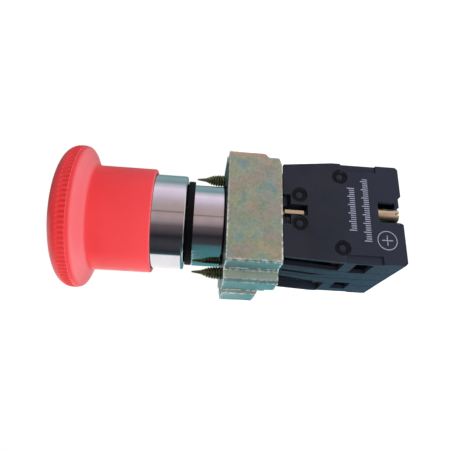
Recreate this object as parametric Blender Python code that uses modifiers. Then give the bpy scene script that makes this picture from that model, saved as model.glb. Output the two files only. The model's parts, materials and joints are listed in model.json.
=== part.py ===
"""Emergency stop button for a 22 mm panel hole: turn-to-release mushroom head, chrome body,
mounting collar and two contact blocks.

Frame: the origin is on the button's axis, in the plane where the gasket meets the panel.
+Z runs out of the panel towards the operator, the contact blocks' terminals are at +X and -X,
and the blocks lie side by side along Y. Block 1 is on the -Y side and block 2 is its mirror.
All values below are in millimetres, and MM turns them into Blender's metres.
"""
import math

import bmesh
import bpy
from mathutils import Matrix, Vector

MM = 0.001
GAP = 0.3                      # clearance between neighbouring pieces

# --- driving dimensions --------------------------------------------------------------------
PRESS_TRAVEL = 4.5             # stroke of the head, towards the panel

CAP_RADIUS = 20.0
CAP_TOP = 37.4                 # middle of the head's face
CAP_RIM_Z = 31.8               # height of the widest ring
CAP_WALL = 2.6
SKIRT_RADIUS = 14.8
SKIRT_BORE = 13.7
SKIRT_REAR = 11.1
BOSS_RADIUS = 9.3
BOSS_BORE = 6.9
BOSS_REAR = 22.8

BEZEL_RADIUS = SKIRT_BORE - GAP
BEZEL_REAR = 2.2               # face that presses the gasket against the panel
BODY_TOP = 17.5
BARREL_RADIUS = 11.1           # passes a 22.3 mm panel hole
BARREL_REAR = -14.0
BODY_BORE = 9.2
BODY_FLOOR = (-13.5, -10.5)
TAB_RADIUS = 12.6              # bayonet tabs at the rear of the barrel
TAB_WIDTH = 5.0
TAB_Z = (-13.9, -12.2)
KEY_X = (-12.1, -10.6)         # locating key on the barrel's -X side, for a notched panel hole
KEY_HALF_Y = 4.0
KEY_Z = (-7.6, -0.4)

GASKET_RADIUS = 12.0
BARREL_RING_RADIUS = 11.7      # snap ring in front of the collar
BARREL_RING_Z = (-8.5, -8.0)
O_RING_Z = 14.0
O_RING_WIRE = 0.65

SHANK_RADIUS = 2.9             # spindle
LATCH_HEAD_RADIUS = 6.3
LATCH_HEAD_Z = (3.0, 12.0)
NECK_RADIUS = 3.0
SPINDLE_TOP = 30.6
LATCH_PIN_Z = 6.2
LATCH_PIN_RADIUS = 1.3
LATCH_PIN_TRAVEL = 0.9
SLEEVE_RADIUS = BODY_BORE - GAP
SLEEVE_BORE = 6.6

COLLAR_Z = (-23.1, -8.6)
COLLAR_HALF_X = 15.1           # flat near face
COLLAR_HALF_Y = 15.0
STEP_HALF_X = 18.7
STEP_HALF_Y = 8.3
LUG_X = 21.2                   # tall lug on the +X step
LUG_HALF_Y = 6.5
LUG_Z = (-21.2, -9.3)
PAD_X = -19.8                  # low pad on the far half of the -X step
PAD_Y = (0.3, 8.2)
PAD_Z = (-18.7, -8.85)
CAVITY_HALF_X = 10.9
CAVITY_HALF_Y = 13.2
SHOULDER_REAR = -11.9
CLAMP_SCREW_X = 14.4
CLAMP_SCREW_RADIUS = 1.75
CLAMP_SCREW_TIP = -0.3
CLAMP_SCREW_TAPER = ((0.6, 2.7), (1.45, 4.4), (CLAMP_SCREW_RADIUS, 6.2))  # radius, way from tip
CLAMP_HEAD_Z = (-19.9, -18.2)
CLAMP_HEAD_RADIUS = 2.1

BLOCK_FRONT = -23.4
BLOCK_REAR = -55.6
BLOCK_HALF_FRONT = 13.2        # half width beside the collar
BLOCK_HALF_REAR = (14.7, 13.9)  # at the +X end and at the -X end
BLOCK_FLARE_Z = -37.0
BLOCK_FACE_Y = -14.8           # outer face of block 1
PARTING_Y = -6.7               # between the cover and the base
BLOCK_INNER_Y = -GAP / 2
SHELL_WALL = 1.2
PLUNGER_Y = -6.6
PLUNGER_TIP = -17.5
RIVETS_XZ = ((4.35, -27.7), (-3.75, -27.7), (10.6, -39.0), (-10.0, -38.7))
RIVET_RADIUS = 1.2
FIXING_SCREW_X = 0.9
FIXING_SCREW_Y = -12.3
FIXING_HEAD_RADIUS = 1.9
TERMINAL_X = 9.4
TERMINAL_Y = -8.6

# Openings in a block's end walls, as (y, z) outlines drawn for block 1: the long slots of the
# cover and of the base, and the (low, high) Y of the wire entries beside the terminal screws.
COVER_SLOT = {
    1: [(-13.9, -22.9), (-13.7, -39.3), (-7.4, -39.3), (-8.1, -22.9)],
    2: [(-13.9, -22.9), (-13.7, -39.3), (-6.0, -39.3), (-6.0, -22.9)],
}
BASE_SLOT = {
    1: [(-4.1, -24.8), (-2.9, -37.4), (-1.6, -33.4), (-2.4, -24.8)],
    2: [(-7.4, -24.8), (-7.4, -39.3), (-5.2, -39.3), (-2.2, -24.8)],
}
WIRE_ENTRY_Y = {1: (-13.6, -6.0), 2: (-10.9, -4.2)}
WIRE_ENTRY_Z = (-47.1, -42.4)

BARREL_STEPS = 40
SMALL_STEPS = 20
TINY_STEPS = 14

# --- materials: colour, roughness, metallic ------------------------------------------------
MATERIALS = {
    "red_plastic": ((0.78, 0.045, 0.05), 0.42, 0.0),
    "chrome": ((0.62, 0.60, 0.66), 0.12, 1.0),
    "rubber": ((0.015, 0.015, 0.017), 0.75, 0.0),
    "white_nylon": ((0.75, 0.73, 0.68), 0.5, 0.0),
    "steel": ((0.50, 0.50, 0.52), 0.3, 1.0),
    "spring_steel": ((0.42, 0.42, 0.45), 0.28, 1.0),
    "passivated_zinc": ((0.50, 0.49, 0.30), 0.38, 0.9),
    "passivated_steel": ((0.36, 0.33, 0.14), 0.42, 0.9),
    "black_plastic": ((0.028, 0.032, 0.045), 0.5, 0.0),
    "grey_plastic": ((0.30, 0.32, 0.34), 0.5, 0.0),
    "brass": ((0.80, 0.62, 0.28), 0.3, 1.0),
    "copper": ((0.72, 0.38, 0.22), 0.32, 1.0),
}


# --- scene and small helpers ---------------------------------------------------------------
def clear_scene():
    for obj in list(bpy.data.objects):
        bpy.data.objects.remove(obj, do_unlink=True)


def new_collection(name):
    collection = bpy.data.collections.new(name)
    bpy.context.scene.collection.children.link(collection)
    return collection


def material(name):
    found = bpy.data.materials.get(name)
    if found:
        return found
    colour, roughness, metallic = MATERIALS[name]
    made = bpy.data.materials.new(name)
    made.use_nodes = True
    shader = made.node_tree.nodes["Principled BSDF"]
    shader.inputs["Base Color"].default_value = (*colour, 1.0)
    shader.inputs["Roughness"].default_value = roughness
    shader.inputs["Metallic"].default_value = metallic
    made.diffuse_color = (*colour, 1.0)
    return made


def add_object(name, data, finish=None):
    """Put a mesh or curve in the part's collection, or in the cutters' one if it has no finish."""
    obj = bpy.data.objects.new(name, data)
    if finish:
        data.materials.append(material(finish))
        PART.objects.link(obj)
    else:
        obj.hide_render = True
        obj.display_type = "WIRE"
        CUTTERS.objects.link(obj)
    return obj


def smooth(mesh, angle=35.0):
    mesh.shade_smooth()
    mesh.set_sharp_from_angle(angle=math.radians(angle))


def scaled(points):
    return [Vector(p) * MM for p in points]


def turned(name, profile, finish=None, steps=BARREL_STEPS):
    """Turn an (r, z) profile about Z. It starts at the top and runs down the outer side."""
    mesh = bpy.data.meshes.new(name)
    points = [(r * MM, 0.0, z * MM) for r, z in profile]
    on_axis = profile[0][0] == 0.0 and profile[-1][0] == 0.0
    edges = [(i, i + 1) for i in range(len(points) - 1)]
    if not on_axis:
        edges.append((len(points) - 1, 0))
    mesh.from_pydata(points, edges, [])
    obj = add_object(name, mesh, finish)
    screw = obj.modifiers.new("turn", "SCREW")
    screw.axis = "Z"
    screw.steps = screw.render_steps = steps
    screw.use_merge_vertices = True
    screw.merge_threshold = 0.00001
    screw.use_smooth_shade = True
    return obj


def arc(centre, radius, start, end, count):
    """Points of an arc in the (r, z) plane, angles in degrees from +r towards +z."""
    points = []
    for i in range(count + 1):
        angle = math.radians(start + (end - start) * i / count)
        points.append((centre[0] + radius * math.cos(angle), centre[1] + radius * math.sin(angle)))
    return points


def solid(name, shapes, finish=None):
    """One mesh of separate boxes and rods. A box is ("box", low, high), and a rod is
    ("rod", end, end, radius, segments)."""
    bm = bmesh.new()
    for shape in shapes:
        if shape[0] == "box":
            low, high = scaled(shape[1:3])
            verts = bmesh.ops.create_cube(bm, size=1.0)["verts"]
            size = Matrix.Diagonal((*(high - low), 1.0))
            bmesh.ops.transform(bm, matrix=Matrix.Translation((low + high) / 2) @ size, verts=verts)
        else:
            first, last = scaled(shape[1:3])
            radius, segments = shape[3] * MM, shape[4]
            verts = bmesh.ops.create_cone(bm, cap_ends=True, segments=segments, radius1=radius,
                                          radius2=radius, depth=(last - first).length)["verts"]
            turn = (last - first).to_track_quat("Z", "Y").to_matrix().to_4x4()
            bmesh.ops.transform(bm, matrix=Matrix.Translation((first + last) / 2) @ turn, verts=verts)
    mesh = bpy.data.meshes.new(name)
    bm.to_mesh(mesh)
    bm.free()
    smooth(mesh)
    return add_object(name, mesh, finish)


def curve_to_mesh(name, curve, finish, matrix=None):
    """Make a curve a mesh with welded caps, and leave the curve behind."""
    guide = bpy.data.objects.new(name + "_guide", curve)
    CUTTERS.objects.link(guide)
    bpy.context.view_layer.update()
    evaluated = guide.evaluated_get(bpy.context.evaluated_depsgraph_get())
    mesh = bpy.data.meshes.new_from_object(evaluated)
    mesh.name = name
    bpy.data.objects.remove(guide, do_unlink=True)
    bm = bmesh.new()
    bm.from_mesh(mesh)
    bmesh.ops.remove_doubles(bm, verts=bm.verts, dist=0.000002)
    if matrix:
        bmesh.ops.transform(bm, matrix=matrix, verts=bm.verts)
    bmesh.ops.recalc_face_normals(bm, faces=bm.faces)
    bm.to_mesh(mesh)
    bm.free()
    mesh.materials.clear()
    smooth(mesh)
    return add_object(name, mesh, finish)


# Each plane takes an outline's (u, v) and the height w across it to (x, y, z).
PLANES = {
    "xy": Matrix(((1, 0, 0, 0), (0, 1, 0, 0), (0, 0, 1, 0), (0, 0, 0, 1))),
    "xz": Matrix(((1, 0, 0, 0), (0, 0, 1, 0), (0, 1, 0, 0), (0, 0, 0, 1))),
    "yz": Matrix(((0, 0, 1, 0), (1, 0, 0, 0), (0, 1, 0, 0), (0, 0, 0, 1))),
}


def plate(name, outline, low, high, plane, finish=None):
    """A flat outline with its thickness from low to high across the named plane."""
    curve = bpy.data.curves.new(name, "CURVE")
    curve.dimensions = "2D"
    curve.fill_mode = "BOTH"
    curve.extrude = (high - low) / 2 * MM
    spline = curve.splines.new("POLY")
    spline.points.add(len(outline) - 1)
    for point, (u, v) in zip(spline.points, outline):
        point.co = (u * MM, v * MM, 0.0, 1.0)
    spline.use_cyclic_u = True
    lift = Matrix.Translation((0.0, 0.0, (low + high) / 2 * MM))
    return curve_to_mesh(name, curve, finish, PLANES[plane] @ lift)


def coil(name, radius, wire, low, high, turns, finish, per_turn=9, centre=(0.0, 0.0)):
    """A coil spring along Z with closed flat end turns."""
    curve = bpy.data.curves.new(name, "CURVE")
    curve.dimensions = "3D"
    curve.bevel_depth = wire * MM
    curve.bevel_resolution = 2
    curve.use_fill_caps = True
    count = int(turns * per_turn)
    spline = curve.splines.new("POLY")
    spline.points.add(count)
    lead = 0.9                                   # turns of each closed end
    for i in range(count + 1):
        turn = i / per_turn
        rise = min(max((turn - lead) / (turns - 2 * lead), 0.0), 1.0)
        end_rise = 2.3 * wire                    # pitch of a closed end turn
        body = high - low - 2 * wire - 2 * lead * end_rise
        z = low + wire + end_rise * (min(turn, lead) + max(turn - (turns - lead), 0.0)) + body * rise
        angle = 2 * math.pi * turn
        spline.points[i].co = ((centre[0] + radius * math.cos(angle)) * MM,
                               (centre[1] + radius * math.sin(angle)) * MM, z * MM, 1.0)
    return curve_to_mesh(name, curve, finish)


def boolean(target, tool, operation="DIFFERENCE"):
    modifier = target.modifiers.new(operation.lower(), "BOOLEAN")
    modifier.operation = operation
    modifier.solver = "EXACT"
    modifier.object = tool
    return target


def cut(target, name, shapes):
    return boolean(target, solid(name, shapes))


def box_between(x, y, z):
    """A box shape from three (low, high) pairs."""
    return ("box", (x[0], y[0], z[0]), (x[1], y[1], z[1]))


def rod(first, last, radius, segments=SMALL_STEPS):
    return ("rod", first, last, radius, segments)


# --- head ----------------------------------------------------------------------------------
def mushroom_cap():
    dome_height = CAP_TOP - CAP_RIM_Z
    dome = []
    for share in (0.3, 0.55, 0.72, 0.83, 0.9, 0.945, 0.975, 0.993):
        dome.append((CAP_RADIUS * share, CAP_RIM_Z + dome_height * (1 - share ** 4.6) ** 0.42))
    flange = [(CAP_RADIUS, CAP_RIM_Z), (CAP_RADIUS - 0.05, CAP_RIM_Z - 1.0),
              (CAP_RADIUS - 0.4, CAP_RIM_Z - 1.7), (CAP_RADIUS - 0.9, CAP_RIM_Z - 2.1),
              (SKIRT_RADIUS + 0.9, CAP_RIM_Z - 3.9), (SKIRT_RADIUS + 0.15, CAP_RIM_Z - 4.3),
              (SKIRT_RADIUS, CAP_RIM_Z - 4.9)]
    skirt = [(SKIRT_RADIUS, SKIRT_REAR + 0.3), (SKIRT_RADIUS - 0.3, SKIRT_REAR),
             (SKIRT_BORE, SKIRT_REAR), (SKIRT_BORE, CAP_RIM_Z - 4.0)]
    inside = [(CAP_RADIUS - CAP_WALL - 0.6, CAP_RIM_Z - 1.0),
              (CAP_RADIUS - CAP_WALL - 1.2, CAP_TOP - CAP_WALL - 1.2),
              (CAP_RADIUS - CAP_WALL - 3.4, CAP_TOP - CAP_WALL), (BOSS_RADIUS, CAP_TOP - CAP_WALL)]
    boss = [(BOSS_RADIUS, BOSS_REAR), (BOSS_BORE, BOSS_REAR),
            (BOSS_BORE, CAP_TOP - CAP_WALL - 1.6), (0.0, CAP_TOP - CAP_WALL - 1.6)]
    profile = [(0.0, CAP_TOP)] + dome + flange + skirt + inside + boss
    return turned("mushroom_cap", profile, "red_plastic", 40)


def cap_hub():
    """Metal hub held in the cap's boss; it turns on the spindle's neck."""
    outer, bore = BOSS_BORE - GAP, NECK_RADIUS + GAP
    low, high = BOSS_REAR - 1.2, SPINDLE_TOP - 2.2
    profile = [(outer, high), (outer, BOSS_REAR - 0.2), (outer - 0.6, low), (bore, low), (bore, high)]
    return turned("cap_hub", profile, "brass", 24)


def spindle():
    low, high = LATCH_HEAD_Z
    clip_z = SPINDLE_TOP - 1.2
    profile = [
        (0.0, SPINDLE_TOP), (NECK_RADIUS - 0.4, SPINDLE_TOP), (NECK_RADIUS, SPINDLE_TOP - 0.4),
        (NECK_RADIUS, clip_z + 0.2), (NECK_RADIUS - 0.7, clip_z + 0.2),
        (NECK_RADIUS - 0.7, clip_z - 0.9), (NECK_RADIUS, clip_z - 0.9), (NECK_RADIUS, high),
        (LATCH_HEAD_RADIUS - 0.5, high), (LATCH_HEAD_RADIUS, high - 0.5),
        (LATCH_HEAD_RADIUS, low + 0.5), (LATCH_HEAD_RADIUS - 0.5, low), (SHANK_RADIUS, low),
        (SHANK_RADIUS, -13.9), (SHANK_RADIUS - 0.7, -13.9), (SHANK_RADIUS - 0.7, -15.1),
        (2.0, -15.1), (2.0, -17.9), (0.0, -17.9)]
    piece = turned("spindle", profile, "steel", 20)
    reach = LATCH_HEAD_RADIUS + 1.0
    return cut(piece, "latch_pin_bore", [
        rod((-reach, 0, LATCH_PIN_Z), (reach, 0, LATCH_PIN_Z), LATCH_PIN_RADIUS + 0.15, TINY_STEPS)])


def latch_pins():
    outer, inner = LATCH_HEAD_RADIUS - 0.1, 2.1
    for name, side in (("latch_pin_right", 1), ("latch_pin_left", -1)):
        solid(name, [rod((side * inner, 0, LATCH_PIN_Z), (side * outer, 0, LATCH_PIN_Z),
                         LATCH_PIN_RADIUS, TINY_STEPS)], "steel")
    spring = coil("latch_spring", 0.8, 0.18, -inner + GAP, inner - GAP, 4.0, "spring_steel", 7)
    spring.rotation_euler = (0.0, math.radians(90), 0.0)
    spring.location = (0.0, 0.0, LATCH_PIN_Z * MM)


def clips():
    """The two snap rings: one over the hub, one behind the body's floor."""
    top = SPINDLE_TOP - 1.55
    inner = NECK_RADIUS - 0.7 + 0.2
    for name, centre_z, outer in (("hub_clip", top, 5.2), ("spindle_clip", -14.5, 4.6)):
        half = 0.3
        profile = [(outer, centre_z + half), (outer, centre_z - half),
                   (inner, centre_z - half), (inner, centre_z + half)]
        ring = turned(name, profile, "spring_steel", 20)
        cut(ring, name + "_mouth", [box_between((-1.3, 1.3), (0.0, 6.0), (centre_z - 1, centre_z + 1))])


def head_springs():
    coil("return_spring", 4.9, 0.5, BODY_FLOOR[1] + GAP, LATCH_HEAD_Z[0] - GAP, 5.5, "spring_steel")
    coil("twist_spring", 4.2, 0.45, LATCH_HEAD_Z[1] + GAP, BOSS_REAR - 1.5, 5.5, "spring_steel")


def pusher_plate():
    low, high = -17.2, -15.4
    outline = []
    for side, start in ((1, 0), (-1, 180)):
        outline += arc((0.0, side * 8.2), 3.2, start, start + 180, 8)
    piece = plate("pusher_plate", outline, low, high, "xy", "steel")
    return cut(piece, "pusher_hole", [rod((0, 0, low - 1), (0, 0, high + 1), 2.0 + 0.25)])


# --- body ----------------------------------------------------------------------------------
def operator_body():
    groove = O_RING_WIRE + 0.25
    profile = [
        (BEZEL_RADIUS - 0.4, BODY_TOP), (BEZEL_RADIUS, BODY_TOP - 0.4),
        (BEZEL_RADIUS, O_RING_Z + groove), (BEZEL_RADIUS - 1.4, O_RING_Z + groove),
        (BEZEL_RADIUS - 1.4, O_RING_Z - groove), (BEZEL_RADIUS, O_RING_Z - groove),
        (BEZEL_RADIUS, BEZEL_REAR + 0.5), (BEZEL_RADIUS - 0.15, BEZEL_REAR + 0.15),
        (BEZEL_RADIUS - 0.5, BEZEL_REAR), (BARREL_RADIUS, BEZEL_REAR),
        (BARREL_RADIUS, BARREL_REAR + 0.5), (BARREL_RADIUS - 0.5, BARREL_REAR),
        (BODY_BORE, BARREL_REAR), (BODY_BORE - 0.6, BODY_FLOOR[0]), (SHANK_RADIUS + GAP, BODY_FLOOR[0]),
        (SHANK_RADIUS + GAP, BODY_FLOOR[1]), (BODY_BORE, BODY_FLOOR[1]), (BODY_BORE, BODY_TOP)]
    body = turned("operator_body", profile, "chrome")
    reach = math.sqrt(TAB_RADIUS ** 2 - (TAB_WIDTH / 2) ** 2)
    inner = BARREL_RADIUS - 0.8
    for name, side in (("tab_far", 1), ("tab_near", -1)):
        low, high = sorted((side * inner, side * reach))
        tab = solid(name, [box_between((-TAB_WIDTH / 2, TAB_WIDTH / 2), (low, high), TAB_Z)])
        boolean(body, tab, "UNION")
    return boolean(body, solid("locating_key", [box_between(KEY_X, (-KEY_HALF_Y, KEY_HALF_Y), KEY_Z)]),
                   "UNION")


def panel_gasket():
    bore = BARREL_RADIUS + 0.25
    top = BEZEL_REAR - GAP
    profile = [(GASKET_RADIUS, top), (GASKET_RADIUS, 0.0), (bore, 0.0), (bore, top)]
    return turned("panel_gasket", profile, "rubber")


def barrel_ring():
    low, high = BARREL_RING_Z
    bore = BARREL_RADIUS + 0.2
    profile = [(BARREL_RING_RADIUS, high), (BARREL_RING_RADIUS, low), (bore, low), (bore, high)]
    return turned("barrel_ring", profile, "rubber")


def bezel_o_ring():
    profile = arc((BEZEL_RADIUS - O_RING_WIRE - 0.02, O_RING_Z), O_RING_WIRE, 90, -270, 6)[:-1]
    return turned("bezel_o_ring", profile, "rubber", 32)


def guide_sleeve():
    """Liner of the body's bore. Its ramp lets the latch pins come out as the head goes in."""
    high = BODY_TOP - 1.5
    low = BODY_FLOOR[1] + GAP
    ramp_top = LATCH_PIN_Z + LATCH_PIN_RADIUS + 0.4
    ramp_low = ramp_top - PRESS_TRAVEL - 2 * LATCH_PIN_RADIUS - 0.8
    deep = SLEEVE_BORE + LATCH_PIN_TRAVEL + 0.4
    profile = [(SLEEVE_RADIUS, high), (SLEEVE_RADIUS, low), (SLEEVE_BORE, low), (SLEEVE_BORE, ramp_low),
               (deep, ramp_low + 0.3), (SLEEVE_BORE + 0.3, ramp_top), (SLEEVE_BORE, high)]
    return turned("guide_sleeve", profile, "white_nylon", 28)


# --- mounting collar -----------------------------------------------------------------------
def mounting_collar():
    """Stepped die-cast collar: flat near and far faces and a step at each end of X, with a tall
    lug on the +X step and a low pad and a recessed rear corner on the -X step."""
    rear, front = COLLAR_Z
    corner, draft = 0.8, 0.1
    quarter = [(STEP_HALF_X, -STEP_HALF_Y + corner), (STEP_HALF_X - corner, -STEP_HALF_Y),
               (COLLAR_HALF_X + 0.5, -STEP_HALF_Y - draft), (COLLAR_HALF_X, -STEP_HALF_Y - 0.6),
               (COLLAR_HALF_X, -COLLAR_HALF_Y + 0.4), (COLLAR_HALF_X - 0.4, -COLLAR_HALF_Y)]
    lower_right = quarter
    lower_left = [(-x, y) for x, y in reversed(quarter)]
    upper_left = [(-x, -y) for x, y in quarter]
    upper_right = [(x, -y) for x, y in reversed(quarter)]
    outline = lower_right + lower_left + upper_left + upper_right
    collar = plate("mounting_collar", outline, rear, front, "xy", "passivated_zinc")
    for name, x, (low, high), reach, corner in (
            ("lug", LUG_X, LUG_Z, (-LUG_HALF_Y, LUG_HALF_Y), 1.3), ("pad", PAD_X, PAD_Z, PAD_Y, 0.6)):
        inward = -1 if x > 0 else 1
        inner = -inward * (STEP_HALF_X - 2.0)
        outline = [(inner, low), (x + inward * corner, low), (x, low + corner), (x, high), (inner, high)]
        boolean(collar, plate(name, outline, *reach, "xz"), "UNION")
    recess_z = (rear - 1, PAD_Z[0] - 0.15)
    cut(collar, "step_recess", [box_between((-STEP_HALF_X - 3, -17.2), (-1.0, STEP_HALF_Y + 1), recess_z)])
    cut(collar, "side_recess", [box_between((-STEP_HALF_X - 3, -15.5), (3.0, STEP_HALF_Y + 1), recess_z)])
    rear_corner = plate("rear_corner", [(12.9, rear - 1), (12.9, rear), (COLLAR_HALF_X, rear + 0.8),
                                        (STEP_HALF_X + 1, rear + 0.8), (STEP_HALF_X + 1, rear - 1)],
                        -COLLAR_HALF_Y - 1, COLLAR_HALF_Y + 1, "xz")
    boolean(collar, rear_corner)
    cut(collar, "collar_bore", [rod((0, 0, BARREL_REAR - GAP), (0, 0, front + 1),
                                      BARREL_RADIUS + GAP, 48)])
    cut(collar, "collar_cavity", [box_between((-CAVITY_HALF_X, CAVITY_HALF_X),
                                              (-CAVITY_HALF_Y, CAVITY_HALF_Y), (rear - 1, SHOULDER_REAR))])
    slot_reach = TAB_RADIUS + GAP
    slots = solid("tab_slots", [box_between((-TAB_WIDTH / 2 - GAP, TAB_WIDTH / 2 + GAP),
                                            (-slot_reach, slot_reach), (SHOULDER_REAR - 1, front + 1))])
    slots.rotation_euler = (0.0, 0.0, math.radians(45))
    boolean(collar, slots)
    for name, side in (("clamp_hole_upper", 1), ("clamp_hole_lower", -1)):
        x = side * CLAMP_SCREW_X
        cut(collar, name, [rod((x, 0, rear - 1), (x, 0, front + 1), CLAMP_SCREW_RADIUS + 0.25)])
        cut(collar, name + "_head", [rod((x, 0, rear - 1), (x, 0, CLAMP_HEAD_Z[1] + GAP),
                                         CLAMP_HEAD_RADIUS + GAP)])
    return collar


def clamp_screws():
    """Long pointed screws, turned as one piece each and slotted across the head."""
    head_rear, head_front = CLAMP_HEAD_Z
    tip = CLAMP_SCREW_TIP
    for name, side in (("clamp_screw_upper", 1), ("clamp_screw_lower", -1)):
        taper = [(radius, tip - way) for radius, way in CLAMP_SCREW_TAPER]
        profile = [(0.0, tip), (0.2, tip), *taper, (CLAMP_SCREW_RADIUS, head_front),
                   (CLAMP_HEAD_RADIUS, head_front), (CLAMP_HEAD_RADIUS, head_rear + 0.4),
                   (CLAMP_HEAD_RADIUS - 0.4, head_rear), (0.0, head_rear)]
        screw = turned(name, profile, "passivated_steel", SMALL_STEPS)
        screw.location = (side * CLAMP_SCREW_X * MM, 0.0, 0.0)
        cut(screw, name + "_slot", [box_between(
            (side * CLAMP_SCREW_X - 4, side * CLAMP_SCREW_X + 4), (-0.4, 0.4),
            (head_rear - 1, head_rear + 0.8))])


# --- contact blocks ------------------------------------------------------------------------
def mirrored(shape, side):
    """Take a shape drawn for block 1 (side -1) to the chosen block."""
    if side < 0:
        return shape
    if shape[0] == "box":
        (x0, y0, z0), (x1, y1, z1) = shape[1:3]
        return ("box", (x0, -y1, z0), (x1, -y0, z1))
    (x0, y0, z0), (x1, y1, z1) = shape[1:3]
    return ("rod", (x0, -y0, z0), (x1, -y1, z1), *shape[3:])


class Block:
    """Makes one block's pieces, drawn for block 1 and mirrored in Y for block 2."""

    def __init__(self, number, side):
        self.number = number
        self.side = side

    def name(self, piece):
        return f"block_{self.number}_{piece}"

    def solid(self, piece, shapes, finish=None):
        return solid(self.name(piece), [mirrored(s, self.side) for s in shapes], finish)

    def cut(self, target, piece, shapes):
        return boolean(target, self.solid(piece, shapes))

    def plate(self, piece, outline, low, high, plane, finish=None):
        if self.side > 0 and plane == "xz":
            low, high = -high, -low
        if self.side > 0 and plane == "yz":
            outline = [(-y, z) for y, z in outline]
        return plate(self.name(piece), outline, low, high, plane, finish)

    def y(self, value):
        return value if self.side < 0 else -value


def block_outline(inset):
    """Side view of a block in X and Z, with small corner chamfers."""
    front, rear = BLOCK_FRONT - inset, BLOCK_REAR + inset
    half_front, corner = BLOCK_HALF_FRONT - inset, 0.2
    rear_corner = 0.7 if inset == 0 else 0.2
    sides = []
    for half_rear in BLOCK_HALF_REAR:
        end = half_rear - inset
        sides.append([(half_front - corner, front), (half_front, front - corner), (end, BLOCK_FLARE_Z),
                      (end, rear + rear_corner), (end - rear_corner, rear)])
    return sides[0] + [(-x, z) for x, z in reversed(sides[1])]


def shell_half(block, piece, outer_y, open_y):
    """An open-sided housing half; its closed wall is at outer_y."""
    inward = 1 if open_y > outer_y else -1
    low, high = sorted((outer_y, open_y))
    shell = block.plate(piece, block_outline(0), low, high, "xz", "black_plastic")
    low, high = sorted((outer_y + inward * SHELL_WALL, open_y + inward))
    hollow = block.plate(piece + "_hollow", block_outline(SHELL_WALL), low, high, "xz")
    return boolean(shell, hollow)


def end_wall_cuts(block, half, piece, slot):
    """The long slot and the wire entry of one housing half, through both end walls."""
    for label, side in (("upper", 1), ("lower", -1)):
        low, high = sorted((side * 11.0, side * 17.0))
        boolean(half, block.plate(f"{piece}_slot_{label}", slot, low, high, "yz"))
        block.cut(half, f"{piece}_entry_{label}", [box_between(
            (low, high), WIRE_ENTRY_Y[block.number], WIRE_ENTRY_Z)])


def block_cover(block):
    cover = shell_half(block, "cover", BLOCK_FACE_Y, PARTING_Y - GAP / 2)
    face = BLOCK_FACE_Y
    through = (face - 1, face + SHELL_WALL + 0.4)
    # front notch and hook slot, and the rear notch over the fixing screw
    block.cut(cover, "front_notch", [box_between((-4.3, 4.3), through, (-25.4, BLOCK_FRONT + 1))])
    block.cut(cover, "hook_slot", [box_between((-1.6, 1.5), through, (-29.9, BLOCK_FRONT - 0.5))])
    block.cut(cover, "hook_way", [box_between((-1.6, 1.5), (face - 1, -11.4),
                                              (BLOCK_FRONT - SHELL_WALL - 0.2, BLOCK_FRONT + 1))])
    middle = FIXING_SCREW_X
    rear_notch = [(middle - 3.0, -49.0), (middle + 2.9, -49.0), (middle + 2.9, -53.6),
                  (middle + 6.0, -56.7), (middle - 4.2, -56.7), (middle - 3.0, -55.1)]
    notch = block.plate("rear_notch", rear_notch, *through, "xz")
    boolean(cover, notch)
    block.cut(cover, "rear_screw_way", [rod((middle, FIXING_SCREW_Y, BLOCK_REAR - 1),
                                            (middle, FIXING_SCREW_Y, BLOCK_REAR + 2),
                                            FIXING_HEAD_RADIUS + 0.5)])
    for side, (x, z) in enumerate(RIVETS_XZ):
        block.cut(cover, f"rivet_hole_{side}", [rod((x, face - 1, z), (x, face + 3, z),
                                                    RIVET_RADIUS + 0.2, TINY_STEPS)])
        block.cut(cover, f"rivet_sink_{side}", [rod((x, face - 1, z), (x, face + 0.7, z), 2.2)])
    # shallow steps at both ends of the face, beside the terminals
    for label, x in (("upper", BLOCK_HALF_REAR[0]), ("lower", -BLOCK_HALF_REAR[1])):
        block.cut(cover, "edge_step_" + label, [box_between(
            (x - 2.2, x + 2.2), (face - 1, face + 0.6), (-49.3, -39.4))])
    end_wall_cuts(block, cover, "cover", COVER_SLOT[block.number])
    for label, side in (("upper", 1), ("lower", -1)):
        wall = sorted((side * 8.4, side * 9.2))
        boolean(cover, block.solid("inner_wall_" + label, [box_between(
            wall, (face + SHELL_WALL - 0.3, PARTING_Y - 0.5), (-36.9, BLOCK_FRONT - SHELL_WALL + 0.3))]),
            "UNION")
    block.cut(cover, "driver_way", [rod((x, TERMINAL_Y, BLOCK_REAR - 1), (x, TERMINAL_Y, BLOCK_REAR + 2),
                                        2.7) for x in (TERMINAL_X, -TERMINAL_X)])
    block.cut(cover, "plunger_way", [rod((0, PLUNGER_Y, BLOCK_FRONT + 1), (0, PLUNGER_Y, BLOCK_FRONT - 2),
                                         2.3)])
    return cover


def block_base(block):
    base = shell_half(block, "base", BLOCK_INNER_Y, PARTING_Y + GAP / 2)
    block.cut(base, "base_plunger_way", [rod((0, PLUNGER_Y, BLOCK_FRONT + 1),
                                             (0, PLUNGER_Y, BLOCK_FRONT - 2), 2.3)])
    end_wall_cuts(block, base, "base", BASE_SLOT[block.number])
    seat = block.solid("spring_seat", [box_between((-3.4, 3.4), (-9.2, -1.0), (-48.0, -46.6))])
    return boolean(base, seat, "UNION")


def housing_rivets(block):
    high = BLOCK_FACE_Y + 0.25
    for number, (x, z) in enumerate(RIVETS_XZ, 1):
        block.solid(f"rivet_{number}", [rod((x, high, z), (x, -11.9, z), RIVET_RADIUS, TINY_STEPS)],
                    "black_plastic")


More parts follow.
